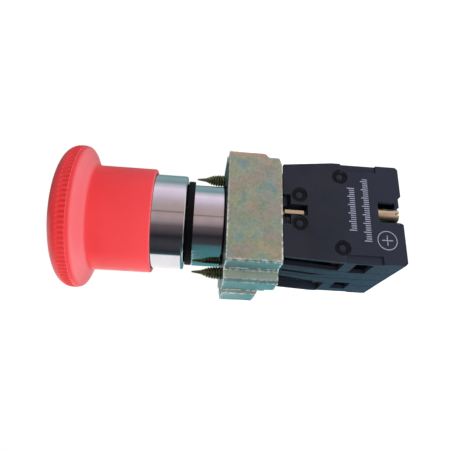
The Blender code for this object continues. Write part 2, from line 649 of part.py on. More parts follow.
def clamp_hook(block):
    """Brass strip that hooks into the collar, on the nut that the fixing screw draws."""
    x, y = FIXING_SCREW_X, FIXING_SCREW_Y
    outline = [(-14.3, -23.8), (-14.3, -28.9), (-13.8, -29.4), (-13.2, -30.6), (-11.7, -30.6),
               (-11.7, -20.2), (-12.8, -20.2), (-12.8, -23.8)]
    hook = block.plate("clamp_hook", outline, -1.15, -0.05, "yz", "brass")
    nut = block.solid("hook_nut", [box_between((x - 1.9, x + 1.9), (y - 1.1, y + 1.4), (-33.0, -30.2))])
    boolean(hook, nut, "UNION")
    return block.cut(hook, "hook_thread", [rod((x, y, -34), (x, y, -30.9), 0.95, TINY_STEPS)])


def fixing_screw(block):
    y = block.y(FIXING_SCREW_Y)
    name = block.name("fixing_screw")
    head = FIXING_HEAD_RADIUS
    profile = [(0.0, -31.4), (0.5, -31.4), (0.7, -31.8), (0.7, -49.2), (head, -49.2), (head, -54.9),
               (head - 0.25, -55.2), (0.0, -55.2)]
    screw = turned(name, profile, "brass", TINY_STEPS)
    screw.location = (FIXING_SCREW_X * MM, y * MM, 0.0)
    slot = (FIXING_SCREW_X - 0.35, FIXING_SCREW_X + 0.35)
    return block.cut(screw, "fixing_screw_slot", [box_between(
        slot, (FIXING_SCREW_Y - 3, FIXING_SCREW_Y + 3), (-56.0, -53.9))])


def plunger(block):
    """Push rod of a block, with a flange that the spring lifts and a neck for the bridge."""
    profile = [(0.0, PLUNGER_TIP), (1.2, PLUNGER_TIP), (1.9, PLUNGER_TIP - 0.7), (1.9, -26.4),
               (2.6, -26.4), (2.6, -28.0), (1.6, -28.0), (1.6, -33.4), (2.4, -33.4), (2.4, -35.0),
               (1.0, -35.0), (1.0, -37.8), (0.0, -37.8)]
    piece = turned(block.name("plunger"), profile, "grey_plastic", TINY_STEPS)
    piece.location = (0.0, block.y(PLUNGER_Y) * MM, 0.0)
    return piece


def contact_bridge(block):
    """Cross strip with a contact button at each end, round the plunger's neck."""
    low, high = PLUNGER_Y - 2.4, PLUNGER_Y + 1.9
    bridge = block.solid("contact_bridge", [box_between((-6.4, 6.4), (low, high), (-33.0, -32.2))],
                         "copper")
    for side in (1, -1):
        button = block.solid(f"bridge_button_{side}", [rod((side * 5.1, PLUNGER_Y, -32.6),
                                                           (side * 5.1, PLUNGER_Y, -31.6), 1.1, TINY_STEPS)])
        boolean(bridge, button, "UNION")
    return block.cut(bridge, "bridge_hole", [rod((0, PLUNGER_Y, -34), (0, PLUNGER_Y, -31), 1.9, TINY_STEPS)])


def plunger_spring(block):
    return coil(block.name("plunger_spring"), 1.75, 0.3, -46.3, -35.3, 5.0, "spring_steel", 8,
                (0.0, block.y(PLUNGER_Y)))


def strip(points, thickness):
    """Outline of a bent strip whose centre runs through the points, with square bends."""
    half = thickness / 2
    left, right = [], []
    for i, point in enumerate(points):
        before = Vector(points[i]) - Vector(points[i - 1]) if i else None
        after = Vector(points[i + 1]) - Vector(point) if i + 1 < len(points) else None
        before, after = (before or after).normalized(), (after or before).normalized()
        along = (before + after).normalized()
        normal = Vector((-along.y, along.x))
        reach = half / max(normal.dot(Vector((-before.y, before.x))), 0.3)
        left.append(tuple(Vector(point) + normal * reach))
        right.append(tuple(Vector(point) - normal * reach))
    return left + right[::-1]


def terminals(block):
    """Fixed contacts: each runs from its contact button to the plate under the terminal screw."""
    low, high = PLUNGER_Y - 5.0, PLUNGER_Y + 1.5
    for label, side in (("upper", 1), ("lower", -1)):
        route = [(3.4, -30.6), (7.6, -30.6), (7.6, -42.3), (12.0, -42.3), (12.0, -37.4)]
        outline = strip([(side * x, z) for x, z in route], 0.7)
        contact = block.plate("terminal_" + label, outline, low, high, "xz", "copper")
        button = block.solid("terminal_button_" + label, [rod((side * 5.1, PLUNGER_Y, -31.3),
                                                              (side * 5.1, PLUNGER_Y, -30.6), 1.1, TINY_STEPS)])
        boolean(contact, button, "UNION")
        x = side * TERMINAL_X
        block.cut(contact, "terminal_thread_" + label, [rod((x, TERMINAL_Y, -44), (x, TERMINAL_Y, -41),
                                                            1.55, TINY_STEPS)])


def terminal_screws(block):
    """Cross-slotted terminal screws, and the square washers that they press onto the wires."""
    y = TERMINAL_Y
    for label, side in (("upper", 1), ("lower", -1)):
        x = side * TERMINAL_X
        screw = block.solid("terminal_screw_" + label, [rod((x, y, -49.6), (x, y, -41.0), 1.3, TINY_STEPS)],
                            "passivated_steel")
        head = block.solid("terminal_head_" + label, [rod((x, y, -51.6), (x, y, -49.4), 2.4)])
        boolean(screw, head, "UNION")
        for cross, (half_x, half_y) in enumerate(((2.8, 0.35), (0.35, 2.8))):
            block.cut(screw, f"terminal_cross_{label}_{cross}", [box_between(
                (x - half_x, x + half_x), (y - half_y, y + half_y), (-53, -50.8))])
        washer = block.solid("clamp_washer_" + label, [box_between(
            (x - 2.7, x + 2.7), (y - 2.4, y + 2.4), (-49.0, -48.0))], "passivated_steel")
        block.cut(washer, "washer_hole_" + label, [rod((x, y, -50), (x, y, -47), 1.6, TINY_STEPS)])


def contact_block(number, side):
    block = Block(number, side)
    for make in (block_cover, block_base, housing_rivets, clamp_hook, fixing_screw, plunger,
                 contact_bridge, plunger_spring, terminals, terminal_screws):
        make(block)


clear_scene()
PART = new_collection("emergency_stop_button")
CUTTERS = new_collection("cutters")

for make_piece in (mushroom_cap, cap_hub, spindle, latch_pins, clips, head_springs, pusher_plate,
                   operator_body, panel_gasket, barrel_ring, bezel_o_ring, guide_sleeve,
                   mounting_collar, clamp_screws):
    make_piece()
contact_block(1, -1)
contact_block(2, 1)
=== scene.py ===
"""Looks of the emergency stop button: finely turned head and chrome body, threaded clamp screws,
worn yellow-passivated collar and dark moulded contact blocks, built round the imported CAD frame."""
import json
import math

import bmesh
import bpy
from mathutils import Matrix, Vector

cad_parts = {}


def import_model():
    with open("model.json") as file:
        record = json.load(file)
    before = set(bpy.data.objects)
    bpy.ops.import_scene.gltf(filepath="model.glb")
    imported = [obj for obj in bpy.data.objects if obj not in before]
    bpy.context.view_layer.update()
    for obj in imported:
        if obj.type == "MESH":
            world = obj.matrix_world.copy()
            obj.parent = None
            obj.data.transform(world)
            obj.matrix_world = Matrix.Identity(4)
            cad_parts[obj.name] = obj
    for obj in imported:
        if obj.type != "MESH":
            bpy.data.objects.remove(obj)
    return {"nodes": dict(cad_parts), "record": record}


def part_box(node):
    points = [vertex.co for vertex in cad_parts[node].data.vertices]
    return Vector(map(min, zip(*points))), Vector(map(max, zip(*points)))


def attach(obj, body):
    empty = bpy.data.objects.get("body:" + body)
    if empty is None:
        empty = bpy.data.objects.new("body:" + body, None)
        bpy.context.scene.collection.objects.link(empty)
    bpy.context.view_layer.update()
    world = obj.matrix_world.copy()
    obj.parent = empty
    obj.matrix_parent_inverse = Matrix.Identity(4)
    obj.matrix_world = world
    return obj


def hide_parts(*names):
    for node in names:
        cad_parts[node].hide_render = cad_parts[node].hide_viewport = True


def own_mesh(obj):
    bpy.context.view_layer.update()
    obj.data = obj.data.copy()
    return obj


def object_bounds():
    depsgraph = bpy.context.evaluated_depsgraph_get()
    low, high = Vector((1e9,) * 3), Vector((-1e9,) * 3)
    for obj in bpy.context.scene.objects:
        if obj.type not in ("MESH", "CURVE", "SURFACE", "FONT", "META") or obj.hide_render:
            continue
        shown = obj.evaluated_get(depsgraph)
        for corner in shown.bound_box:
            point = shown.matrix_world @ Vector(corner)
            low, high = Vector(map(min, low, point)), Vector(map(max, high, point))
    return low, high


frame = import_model()
CAD_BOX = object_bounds()
MM = 0.001
SMOOTH_ANGLE = 40.0                         # edges sharper than this stay sharp in shading
WHITE = (1.0, 1.0, 1.0)

# Sizes and places are in millimetres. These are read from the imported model.
FACE_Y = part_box("block_1_cover")[0].y / MM
CAP_LOW, CAP_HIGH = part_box("mushroom_cap")
CAP_RADIUS = CAP_HIGH.x / MM
CAP_TOP = CAP_HIGH.z / MM
SKIRT_REAR = CAP_LOW.z / MM


# --- shader nodes --------------------------------------------------------------------------
class Nodes:
    """Short calls that add nodes to a shader tree. X, Y and Z are 0, 1 and 2."""

    def __init__(self, tree):
        self.tree = tree

    def node(self, kind, **settings):
        made = self.tree.nodes.new(kind)
        for key, value in settings.items():
            setattr(made, key, value)
        return made

    def link(self, source, target):
        self.tree.links.new(source, target)

    def feed(self, socket, value):
        """Gives a socket its value: another socket, a colour or a number."""
        if isinstance(value, bpy.types.NodeSocket):
            self.link(value, socket)
        elif isinstance(value, tuple):
            socket.default_value = (*value, 1.0)
        else:
            socket.default_value = value

    def ramp(self, value, stops, interpolation="LINEAR"):
        """A colour ramp; a stop is (position, colour) or (position, grey)."""
        made = self.node("ShaderNodeValToRGB")
        made.color_ramp.interpolation = interpolation
        elements = made.color_ramp.elements
        while len(elements) < len(stops):
            elements.new(0.5)
        for element, (position, colour) in zip(elements, stops):
            element.position = position
            element.color = (*colour, 1.0) if isinstance(colour, tuple) else (colour,) * 3 + (1.0,)
        self.link(value, made.inputs["Fac"])
        return made.outputs["Color"]

    def spread(self, value, low, high, from_low=0.3, from_high=0.7, interpolation="LINEAR"):
        """Maps from_low..from_high to low..high, and holds the ends."""
        made = self.node("ShaderNodeMapRange", interpolation_type=interpolation)
        made.inputs["From Min"].default_value = from_low
        made.inputs["From Max"].default_value = from_high
        made.inputs["To Min"].default_value = low
        made.inputs["To Max"].default_value = high
        self.link(value, made.inputs["Value"])
        return made.outputs["Result"]

    def mix(self, share, first, second, blend="MIX"):
        made = self.node("ShaderNodeMix", data_type="RGBA", blend_type=blend)
        self.feed(made.inputs["Factor"], share)
        self.feed(made.inputs[6], first)
        self.feed(made.inputs[7], second)
        return made.outputs[2]

    def calculate(self, operation, first, second):
        made = self.node("ShaderNodeMath", operation=operation)
        self.feed(made.inputs[0], first)
        self.feed(made.inputs[1], second)
        return made.outputs[0]

    def times(self, first, second):
        return self.calculate("MULTIPLY", first, second)

    def dot(self, first, second):
        """The dot product of two vectors, of which the second may be constant."""
        made = self.node("ShaderNodeVectorMath", operation="DOT_PRODUCT")
        self.link(first, made.inputs[0])
        if isinstance(second, tuple):
            made.inputs[1].default_value = second
        else:
            self.link(second, made.inputs[1])
        return made.outputs["Value"]

    def component(self, vector, axis):
        parts = self.node("ShaderNodeSeparateXYZ")
        self.link(vector, parts.inputs["Vector"])
        return parts.outputs[axis]


class Finish(Nodes):
    """A material with a Principled shader and calls for the patterns that feed it."""

    def __init__(self, name, **constants):
        self.material = bpy.data.materials.new(name)
        self.material.use_nodes = True
        super().__init__(self.material.node_tree)
        self.shader = self.tree.nodes["Principled BSDF"]
        for socket, value in constants.items():
            self.shader.inputs[socket.replace("_", " ")].default_value = value
        self.place = self.node("ShaderNodeTexCoord").outputs["Object"]

    def stretched(self, scale):
        mapping = self.node("ShaderNodeMapping")
        mapping.inputs["Scale"].default_value = scale
        self.link(self.place, mapping.inputs["Vector"])
        return mapping.outputs["Vector"]

    def noise(self, scale, detail=3.0, distortion=0.0, stretch=None, roughness=0.5):
        """Noise, with its scale in features to the metre."""
        made = self.node("ShaderNodeTexNoise")
        made.inputs["Scale"].default_value = scale
        made.inputs["Detail"].default_value = detail
        made.inputs["Roughness"].default_value = roughness
        made.inputs["Distortion"].default_value = distortion
        self.link(self.stretched(stretch) if stretch else self.place, made.inputs["Vector"])
        return made.outputs["Fac"]

    def edges(self, radius, low=0.02, high=0.25):
        """1 on sharp edges, 0 on flats: how far the rounded normal leans from the true one."""
        rounded_off = self.node("ShaderNodeBevel", samples=6)
        rounded_off.inputs["Radius"].default_value = radius
        true = self.node("ShaderNodeNewGeometry")
        lean = self.dot(rounded_off.outputs["Normal"], true.outputs["Normal"])
        return self.spread(lean, 1.0, 0.0, 1.0 - high, 1.0 - low)

    def along(self, axis, low, high):
        """0 to 1 from low to high mm along an object axis."""
        return self.spread(self.component(self.place, axis), 0.0, 1.0, low * MM, high * MM)

    def facing(self, axis, low, high):
        """0 to 1 as the normal's part along the axis goes from low to high."""
        normal = self.node("ShaderNodeNewGeometry").outputs["Normal"]
        return self.spread(self.component(normal, axis), 0.0, 1.0, low, high)

    def bump(self, height, distance, strength=1.0, after=None):
        made = self.node("ShaderNodeBump")
        made.inputs["Distance"].default_value = distance
        made.inputs["Strength"].default_value = strength
        self.link(height, made.inputs["Height"])
        if after:
            self.link(after, made.inputs["Normal"])
        return made.outputs["Normal"]

    def set(self, **sources):
        for socket, source in sources.items():
            self.link(source, self.shader.inputs[socket.replace("_", " ")])
        return self


# --- materials -----------------------------------------------------------------------------
def red_plastic():
    """Glossy moulded ABS: slight tone drift, painted light that makes it paler to the rear and pinker
    on the flange's back, with fine orange peel and a few pale rub marks."""
    f = Finish("red_plastic", Specular_IOR_Level=0.36, Coat_Weight=0.06, Coat_Roughness=0.25)
    tone = f.ramp(f.noise(90, 4), [(0.3, (0.84, 0.034, 0.040)), (0.7, (0.90, 0.045, 0.052))])
    # Painted light: the head is brighter red to the rear.
    painted_light_rear_red = (1.0, 0.062, 0.074)
    tone = f.mix(f.along(2, 24.0, 9.0), tone, painted_light_rear_red)
    # Painted light: faces looking to -Z, the flange's back, are pinker.
    painted_light_flange_pink = (0.86, 0.155, 0.175)
    tone = f.mix(f.facing(2, -0.40, -0.85), tone, painted_light_flange_pink)
    rub = f.times(f.edges(0.0004), f.spread(f.noise(700, 4), 0.0, 0.45, 0.5, 0.7))
    peel = f.bump(f.noise(2600, 2), 0.00002, 0.35)
    grain = f.bump(f.noise(9000, 3), 0.00001, 0.3, peel)
    return f.set(Base_Color=f.mix(rub, tone, (0.95, 0.25, 0.25)),
                 Roughness=f.spread(f.noise(400, 4), 0.33, 0.44), Normal=grain).material


def chrome():
    """Bright nickel-chrome plate with faint turning lines, haze and small scratches."""
    f = Finish("chrome", Metallic=1.0)
    haze = f.noise(260, 5)
    lines = f.noise(60, 3, stretch=(1.0, 1.0, 60.0))
    scratches = f.spread(f.noise(900, 2, stretch=(1.0, 1.0, 0.1)), 0.0, 1.0, 0.68, 0.8)
    return f.set(Base_Color=f.ramp(haze, [(0.3, (0.68, 0.66, 0.69)), (0.7, (0.76, 0.74, 0.77))]),
                 Roughness=f.spread(f.noise(500, 5), 0.04, 0.09),
                 Normal=f.bump(scratches, 0.00001, 0.25, f.bump(lines, 0.00002, 0.08))).material


def rubber():
    """Black rubber with a little pale dust."""
    f = Finish("black_rubber", Specular_IOR_Level=0.16)
    dust = f.spread(f.noise(1500, 4), 0.0, 0.35, 0.55, 0.75)
    return f.set(Base_Color=f.mix(dust, (0.001, 0.001, 0.002), (0.012, 0.012, 0.016)),
                 Roughness=f.spread(f.noise(700, 4), 0.5, 0.75),
                 Normal=f.bump(f.noise(6000, 3), 0.00002, 0.4)).material


def passivated_zinc():
    """Die-cast zinc in yellow chromate: drifting olive, green, gold, pink and blue-grey patches,
    a fine cast grain, and bright nicked edges that are partly wear and partly painted highlight.
    Painted light makes the +X lug orange, the -X pad pale and the faces looking to -X teal, and
    painted shade makes the front face dark teal."""
    f = Finish("passivated_zinc", Specular_IOR_Level=0.6)
    patches = f.noise(170, 2, distortion=0.35, stretch=(1.0, 1.0, 1.2), roughness=0.4)
    tint = f.ramp(patches, [(0.24, (0.24, 0.37, 0.45)), (0.37, (0.26, 0.45, 0.39)),
                            (0.46, (0.48, 0.51, 0.25)), (0.53, (0.34, 0.43, 0.39)),
                            (0.62, (0.59, 0.42, 0.30)), (0.74, (0.30, 0.48, 0.31))], "B_SPLINE")
    cast = f.ramp(f.noise(120, 2, distortion=0.4),
                  [(0.36, (0.29, 0.40, 0.43)), (0.64, (0.46, 0.44, 0.29))])
    rim = f.times(f.edges(0.0016, 0.02, 0.4), f.spread(f.noise(260, 3), 0.1, 0.9, 0.42, 0.6))
    colour = f.mix(rim, f.mix(0.35, tint, cast), (0.58, 0.40, 0.22))
    speckle = f.ramp(f.noise(1500, 3), [(0.3, 0.84), (0.7, 1.10)])
    colour = f.mix(1.0, colour, speckle, "MULTIPLY")

    # Painted light by place and facing: +X lug orange, -X pad pale, faces looking to -X teal.
    painted_light_orange_lug, painted_light_pale_pad, painted_teal_light_side, painted_shade_front = (
        (0.60, 0.43, 0.30), (0.50, 0.64, 0.55), (0.18, 0.40, 0.44), (0.04, 0.12, 0.12))
    colour = f.mix(f.along(0, 19.6, 20.2), colour, painted_light_orange_lug)
    colour = f.mix(f.times(f.along(0, -15.2, -16.4), 0.8), colour, painted_light_pale_pad)
    colour = f.mix(f.times(f.facing(0, -0.3, -0.8), 0.75), colour, painted_teal_light_side)

    # Bright edge nicks: partly wear, partly painted highlight, and stronger towards -X as painted
    # light.
    nicks_and_painted_highlight = f.times(f.edges(0.0009, 0.004, 0.08), f.spread(f.noise(1300, 3), 0.1, 1.0, 0.46, 0.55))
    nicks_and_painted_highlight = f.times(nicks_and_painted_highlight, f.spread(f.along(0, 5.0, -5.0), 0.35, 1.0, 0.0, 1.0))
    colour = f.mix(nicks_and_painted_highlight, colour, (1.0, 0.99, 0.96))
    metallic = f.times(f.spread(f.noise(200, 3), 0.62, 0.85), f.spread(nicks_and_painted_highlight, 1.0, 0.1, 0.0, 1.0))
    pits = f.bump(f.noise(1500, 5), 0.00006, 0.2)
    # Faces looking to +Z, the front, get a dark teal painted shade.
    return f.set(Base_Color=f.mix(f.facing(2, 0.6, 0.9), colour, painted_shade_front), Metallic=metallic,
                 Roughness=f.spread(f.noise(600, 5), 0.34, 0.58),
                 Normal=f.bump(f.noise(260, 3), 0.00015, 0.2, pits)).material


def passivated_steel():
    """Dark olive-gold screw steel, brighter on the thread's crests."""
    f = Finish("passivated_steel", Metallic=0.9)
    tint = f.ramp(f.noise(500, 4, distortion=0.5),
                  [(0.3, (0.06, 0.10, 0.05)), (0.5, (0.16, 0.19, 0.085)), (0.7, (0.26, 0.21, 0.10))])
    bright = f.times(f.edges(0.00015), f.spread(f.noise(3000, 3), 0.0, 0.7, 0.45, 0.65))
    return f.set(Base_Color=f.mix(bright, tint, (0.75, 0.70, 0.50)),
                 Roughness=f.spread(f.noise(900, 4), 0.28, 0.5)).material


def block_plastic():
    """Dark blue-black phenolic moulding: matte grain, dust specks, slightly greyed edges, and painted
    light that makes it bluer and a little lighter to the rear.
    """
    f = Finish("block_plastic", Specular_IOR_Level=0.22)
    tone = f.ramp(f.noise(160, 4), [(0.3, (0.016, 0.019, 0.031)), (0.7, (0.022, 0.025, 0.039))])
    # Painted light: the blocks are bluer and a little lighter to the rear.
    painted_light_rear_blue = (0.023, 0.028, 0.052)
    tone = f.mix(f.along(2, -30.0, -54.0), tone, painted_light_rear_blue)
    specks = f.spread(f.noise(3200, 2), 0.0, 0.5, 0.72, 0.8)
    worn = f.times(f.edges(0.00025), f.spread(f.noise(900, 4), 0.0, 0.55, 0.4, 0.65))
    colour = f.mix(worn, f.mix(specks, tone, (0.12, 0.13, 0.16)), (0.13, 0.14, 0.17))
    grain = f.bump(f.noise(5200, 3), 0.00002, 0.45)
    return f.set(Base_Color=colour, Roughness=f.spread(f.noise(500, 4), 0.42, 0.6),
                 Normal=f.bump(f.noise(220, 2), 0.0001, 0.12, grain)).material


def moulded(name, dark, light, low=0.4, high=0.55):
    """Plain moulded plastic between two tones, with its roughness from low to high; it also makes
    the near-black painted shade in the rivet sinks.
    """
    f = Finish(name)
    return f.set(Base_Color=f.ramp(f.noise(300, 4), [(0.3, dark), (0.7, light)]),
                 Roughness=f.spread(f.noise(600, 4), low, high),
                 Normal=f.bump(f.noise(5000, 3), 0.00002, 0.35)).material


def metal(name, dark, light, low=0.2, high=0.36):
    """Plain worked metal: tone drift, turned lines, and polished edges."""
    f = Finish(name, Metallic=1.0)
    grain = f.noise(1200, 3, stretch=(1.0, 1.0, 8.0))
    tone = f.ramp(f.noise(350, 4), [(0.3, dark), (0.7, light)])
    shine = f.times(f.edges(0.00015), f.spread(f.noise(2000, 3), 0.0, 0.5, 0.4, 0.6))
    bright = tuple(min(1.0, 1.25 * c + 0.05) for c in light)
    return f.set(Base_Color=f.mix(shine, tone, bright), Roughness=f.spread(grain, low, high),
                 Normal=f.bump(grain, 0.00002, 0.2)).material


def print_ink():
    """Pale lavender-grey print, slightly uneven."""
    f = Finish("print_ink", Specular_IOR_Level=0.3)
    tone = f.ramp(f.noise(2500, 3), [(0.35, (0.28, 0.28, 0.40)), (0.6, (0.44, 0.44, 0.57))])
    return f.set(Base_Color=tone, Roughness=f.spread(f.noise(900, 2), 0.5, 0.65)).material


RED = red_plastic()
CHROME = chrome()
RUBBER = rubber()
ZINC = passivated_zinc()
SCREW_STEEL = passivated_steel()
BLOCK = block_plastic()
LINER = moulded("liner_nylon", (0.66, 0.64, 0.58), (0.78, 0.76, 0.70))
PLUNGER = moulded("plunger_plastic", (0.22, 0.24, 0.27), (0.32, 0.34, 0.36))
STEEL = metal("turned_steel", (0.42, 0.42, 0.44), (0.58, 0.58, 0.60))
WIRE = metal("spring_wire", (0.34, 0.34, 0.37), (0.50, 0.50, 0.53), 0.22, 0.34)
BRASS = metal("pale_brass", (0.74, 0.62, 0.38), (0.90, 0.80, 0.55), 0.2, 0.38)
SCREW_BRASS = metal("bright_brass", (0.74, 0.58, 0.36), (0.90, 0.78, 0.56), 0.28, 0.46)
HUB_BRASS = metal("hub_brass", (0.66, 0.46, 0.18), (0.82, 0.62, 0.28))
COPPER = metal("contact_copper", (0.62, 0.30, 0.16), (0.82, 0.46, 0.28))
INK = print_ink()
# Near-black painted shade for the floor of the rivet sinks.
SHADOW = moulded("sink_painted_shade", (0.003, 0.003, 0.005), (0.006, 0.006, 0.009), 0.8, 0.95)
SLOT_MATERIALS = {
    "head_plastic": RED, "hub_brass": HUB_BRASS, "brass": BRASS, "steel": STEEL,
    "spring_wire": WIRE, "chrome": CHROME, "rubber": RUBBER, "liner": LINER, "zinc": ZINC,
    "screw_steel": SCREW_STEEL, "block_plastic": BLOCK, "plunger_plastic": PLUNGER,
    "copper": COPPER,
}
NODE_SLOTS = {part["node"]: part["material_slot"] for part in frame["record"]["subparts"]}
NODE_BODIES = {node: body for body, nodes in frame["record"]["behaviour"]["bodies"].items()
               for node in nodes}


# --- mesh helpers --------------------------------------------------------------------------
def add_mesh(name, bm, material, smooth_angle=SMOOTH_ANGLE):
    mesh = bpy.data.meshes.new(name)
    bmesh.ops.recalc_face_normals(bm, faces=bm.faces)
    bm.to_mesh(mesh)
    bm.free()
    mesh.shade_smooth()
    mesh.set_sharp_from_angle(angle=math.radians(smooth_angle))
    mesh.materials.append(material)
    obj = bpy.data.objects.new(name, mesh)
    bpy.context.scene.collection.objects.link(obj)
    return obj


def stand_for(obj, node):
    """The piece takes over a CAD node: its body and its place on screen."""
    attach(obj, NODE_BODIES[node])
    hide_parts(node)
    return obj


def dress(obj, body):
    """An extra piece on a body."""
    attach(obj, body)
    return obj


def turned_ring(bm, steps, z, radius_at):
    """A ring of points round Z, where radius_at(angle) is each one's radius."""
    ring_points = []
    for i in range(steps):
        angle = 2 * math.pi * i / steps
        radius = radius_at(angle)
        place = (radius * math.cos(angle) * MM, radius * math.sin(angle) * MM, z * MM)
        ring_points.append(bm.verts.new(place))
    return ring_points


def join_rings(bm, first, second):
    """Faces between two rings, of which one may be a single point on the axis."""
    steps = max(len(first), len(second))
    for i in range(steps):
        j = (i + 1) % steps
        if len(first) == 1:
            bm.faces.new((first[0], second[i], second[j]))
        elif len(second) == 1:
            bm.faces.new((first[i], second[0], first[j]))
        else:
            bm.faces.new((first[i], second[i], second[j], first[j]))


def revolve(name, profile, steps, material, radius_at=None, smooth_angle=SMOOTH_ANGLE):
    """Turns a closed (r, z) profile about Z; radius_at(r, z, angle) may shape the surface. A
    profile that starts on the axis also ends on it."""
    shape = radius_at or (lambda r, z, angle: r)
    bm = bmesh.new()
    rings = []
    for r, z in profile:
        if r == 0.0:
            rings.append([bm.verts.new((0.0, 0.0, z * MM))])
        else:
            rings.append(turned_ring(bm, steps, z, lambda angle: shape(r, z, angle)))
    pairs = list(zip(rings, rings[1:]))
    if profile[0][0] != 0.0:
        pairs.append((rings[-1], rings[0]))
    for first, second in pairs:
        join_rings(bm, first, second)
    return add_mesh(name, bm, material, smooth_angle)


def arc(centre, radius, start, end, count):
    """Points round an arc in the (r, z) plane, angles in degrees from +r towards +z."""
    angles = [math.radians(start + (end - start) * i / count) for i in range(count + 1)]
    return [(centre[0] + radius * math.cos(a), centre[1] + radius * math.sin(a)) for a in angles]


def rounded(profile, radius, count=4):
    """A closed profile with each corner replaced by a small fillet, and a support point on each
    side of it that keeps the long faces flat in shading."""
    points = []
    total = len(profile)
    for i, corner in enumerate(profile):
        here, before, after = Vector(corner), Vector(profile[i - 1]), Vector(profile[(i + 1) % total])
        if here.x == 0.0:
            points.append(corner)
            continue
        to_before, to_after = before - here, after - here
        reach = min(radius, to_before.length * 0.45, to_after.length * 0.45)
        start, end = here + to_before.normalized() * reach, here + to_after.normalized() * reach
        lead_in = to_before.normalized() * min(0.1, to_before.length * 0.04)
        lead_out = to_after.normalized() * min(0.1, to_after.length * 0.04)
        points.append(tuple(start + lead_in))
        for k in range(count + 1):
            t = k / count
            point = start * (1 - t) ** 2 + here * 2 * t * (1 - t) + end * t ** 2
            points.append((point.x, point.y))
        points.append(tuple(end + lead_out))
    return points


def bevelled(obj, width, segments=3):
    modifier = obj.modifiers.new("edges", "BEVEL")
    modifier.width = width * MM
    modifier.segments = segments
    modifier.limit_method = "ANGLE"
    modifier.angle_limit = math.radians(35)
    modifier.harden_normals = True
    modifier.use_clamp_overlap = True
    return obj


def node_mesh(node):
    """A working copy of a CAD node's mesh."""
    bm = bmesh.new()
    bm.from_mesh(frame["nodes"][node].data)
    return bm


def refined(node, width, segments=2, material=None):
    """The node's own shape with its flats merged and its edges rounded over."""
    bm = node_mesh(node)
    bmesh.ops.remove_doubles(bm, verts=bm.verts, dist=0.000004)
    bmesh.ops.dissolve_limit(bm, angle_limit=math.radians(0.8), verts=bm.verts, edges=bm.edges)
    obj = add_mesh(node + "_piece", bm, material or SLOT_MATERIALS[NODE_SLOTS[node]])
    return stand_for(bevelled(obj, width, segments), node)


def shortening_spring(node):
    """A coil spring in spring wire that takes its node's place."""
    obj = stand_for(add_mesh(node + "_piece", node_mesh(node), WIRE), node)
    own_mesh(obj)


# --- head ----------------------------------------------------------------------------------
DOME_HEIGHT = 5.6
DOME_STEPS = 40
RIB_COUNT = 94
RIB_DEPTH = 0.55
RIB_LOW, RIB_HIGH = 31.1, 33.3
RIB_INNER_RADIUS = 17.0                     # the ribs stay outside this radius
RIB_STEPS = 8                               # points round one rib
# The flange's back, as (inwards from the cap's radius, back from the rim).
FLANGE_BACK = [(0.0, 0.0), (0.0, 0.5), (0.03, 0.75), (0.14, 0.8), (0.16, 1.2), (0.3, 1.6),
               (0.6, 1.95), (1.1, 2.28), (2.2, 2.75), (3.4, 3.28), (4.2, 3.68), (4.75, 4.05),
               (5.08, 4.5), (5.18, 5.0)]
SKIRT_RADIUS = 14.8
SKIRT_BORE = 13.7
SKIRT_LIP = 0.4
BOSS_RADIUS = 9.3
BOSS_BORE = 6.9
BOSS_REAR = 22.8


def ribbed(r, z, angle):
    """The rim's radius with the ribs cut into it."""
    if not RIB_LOW < z < RIB_HIGH or r < RIB_INNER_RADIUS:
        return r
    fade = math.sin(math.pi * (z - RIB_LOW) / (RIB_HIGH - RIB_LOW)) ** 0.45
    wave = 0.5 + 0.5 * math.cos(RIB_COUNT * angle)
    return r - RIB_DEPTH * fade * (1 - wave) ** 1.5


def dome(rim_z):
    """The crowned face, from beside the axis to beside the rim, with closer points outwards."""
    points = []
    half = DOME_STEPS // 2
    for i in range(1, DOME_STEPS):
        if i < half:
            share = math.sin(math.pi / 2 * i / DOME_STEPS)
        else:
            share = 1 - (1 - math.sin(math.pi / 4)) * ((DOME_STEPS - i) / half) ** 2
        points.append((CAP_RADIUS * share, rim_z + DOME_HEIGHT * (1 - share ** 4.6) ** 0.42))
    return points


def mushroom_cap():
    """Face, ribbed rim, coned back and long skirt, all one moulding, hollow behind."""
    rim_z = CAP_TOP - DOME_HEIGHT
    back = [(CAP_RADIUS - inset, rim_z - drop) for inset, drop in FLANGE_BACK]
    back += [(SKIRT_RADIUS, rim_z - 5.5), (SKIRT_RADIUS, rim_z - 5.6)]
    lip = arc((SKIRT_RADIUS - SKIRT_LIP, SKIRT_REAR + SKIRT_LIP), SKIRT_LIP, 0, -90, 5)
    skirt = [(SKIRT_RADIUS, SKIRT_REAR + 0.5)] + lip + [(SKIRT_BORE + 0.05, SKIRT_REAR)]
    inside = [(SKIRT_BORE, SKIRT_REAR + 0.1), (SKIRT_BORE, rim_z - 4.0), (16.8, rim_z - 1.0),
              (16.2, CAP_TOP - 3.8), (14.0, CAP_TOP - 2.6), (BOSS_RADIUS, CAP_TOP - 2.6),
              (BOSS_RADIUS, BOSS_REAR), (BOSS_BORE, BOSS_REAR), (BOSS_BORE, CAP_TOP - 4.2),
              (0.0, CAP_TOP - 4.2)]
    profile = [(0.0, CAP_TOP)] + dome(rim_z) + back + skirt + inside
    cap = revolve("red_mushroom_head", profile, RIB_COUNT * RIB_STEPS, RED, ribbed, 30.0)
    stand_for(cap, "mushroom_cap")


# --- body ----------------------------------------------------------------------------------
BODY_FRONT, BODY_REAR = 17.5, -14.0
BEZEL_RADIUS = 13.4
SEAL_GROOVE_RADIUS = 12.0
BARREL_RADIUS = 11.1
BODY_BORE = 9.2
SPINDLE_HOLE = 3.2
BODY_FLOOR = -10.5
KEY_RADIUS = 12.1
KEY_START, KEY_SWEEP = -5.8, 25.0           # degrees round the barrel from -X
KEY_STEPS = 16
KEY_REAR, KEY_FRONT = -7.85, -0.06


